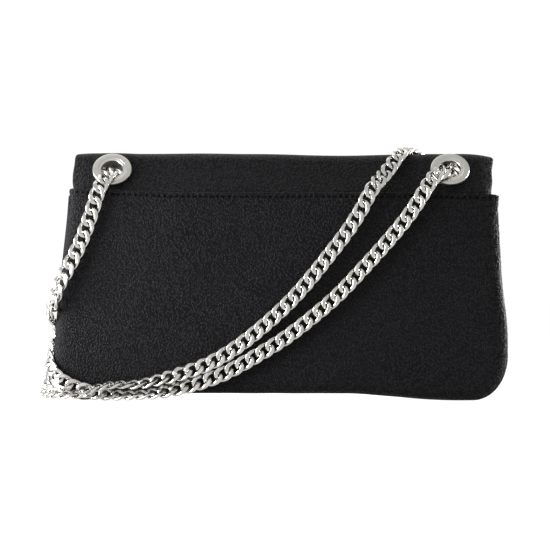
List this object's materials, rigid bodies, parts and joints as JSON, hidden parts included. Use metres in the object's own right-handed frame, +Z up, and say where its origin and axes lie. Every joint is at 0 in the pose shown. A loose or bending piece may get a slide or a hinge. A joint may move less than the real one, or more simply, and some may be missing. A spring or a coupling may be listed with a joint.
{
  "type": "flap crossbody bag",
  "caption": "Flat leather flap bag with a full-width back slip pocket and a curb chain that runs in a closed loop through domed metal eyelets in its roof and flap.",
  "frame": {"origin": "middle of the bag's body, on the surface that it stands on; the chain reaches further out on the left and at the back", "axes": "+Z up, +X to the right of the pictured back face, -Y out of the pictured back face"},
  "size_m": [0.2888, 0.079, 0.1574],
  "materials": {
    "leather": "pebbled",
    "lining_leather": "matt",
    "lining_cloth": "matt",
    "nickel": "satin",
    "zip_coil": "matt",
    "board": "matt"
  },
  "bodies": {
    "bag": {"gusset": "leather", "back_panel": "leather", "back_pocket": "leather", "front_panel": "leather", "yoke_lining": "lining_leather", "base_board": "board", "lining_back": "lining_cloth", "lining_front": "lining_cloth", "lining_gusset": "lining_cloth", "facing_front": "leather", "facing_back": "leather", "zip_pocket_bag": "lining_cloth", "zip_frame": "leather", "zip_tape": "lining_cloth", "zip_coil": "zip_coil", "slip_pocket": "lining_cloth", "eyelet_back_left": "nickel", "eyelet_back_right": "nickel", "washer_back_left": "nickel", "washer_back_right": "nickel", "snap_socket": "nickel", "snap_socket_washer": "nickel", "chain_left": "nickel", "chain_lower": "nickel", "chain_right_passage": "nickel", "chain_ridge": "nickel", "chain_upper": "nickel", "chain_side": "nickel", "chain_turn": "nickel", "chain_left_passage": "nickel"},
    "flap": {"flap": "leather", "flap_lining": "lining_leather", "eyelet_flap_left": "nickel", "eyelet_flap_right": "nickel", "washer_flap_left": "nickel", "washer_flap_right": "nickel", "snap_stud": "nickel", "snap_stud_washer": "nickel"},
    "zip_slider": {"zip_slider": "nickel"},
    "zip_puller": {"zip_puller": "nickel"}
  },
  "joints": [
    {"name": "flap_fold", "type": "hinge", "parent": "bag", "child": "flap", "pos_m": [0, 0, 0.15224], "axis": [1, 0, 0], "range_deg": [0, 150], "deforming": ["chain_right_passage", "chain_ridge", "chain_turn", "chain_left_passage"]},
    {"name": "zip_run", "type": "slide", "parent": "bag", "child": "zip_slider", "axis": [1, 0, 0], "range_m": [0, 0.132]},
    {"name": "puller_swing", "type": "hinge", "parent": "zip_slider", "child": "zip_puller", "pos_m": [-0.066, -0.01515, 0.084], "axis": [1, 0, 0], "range_deg": [0, 150]}
  ]
}
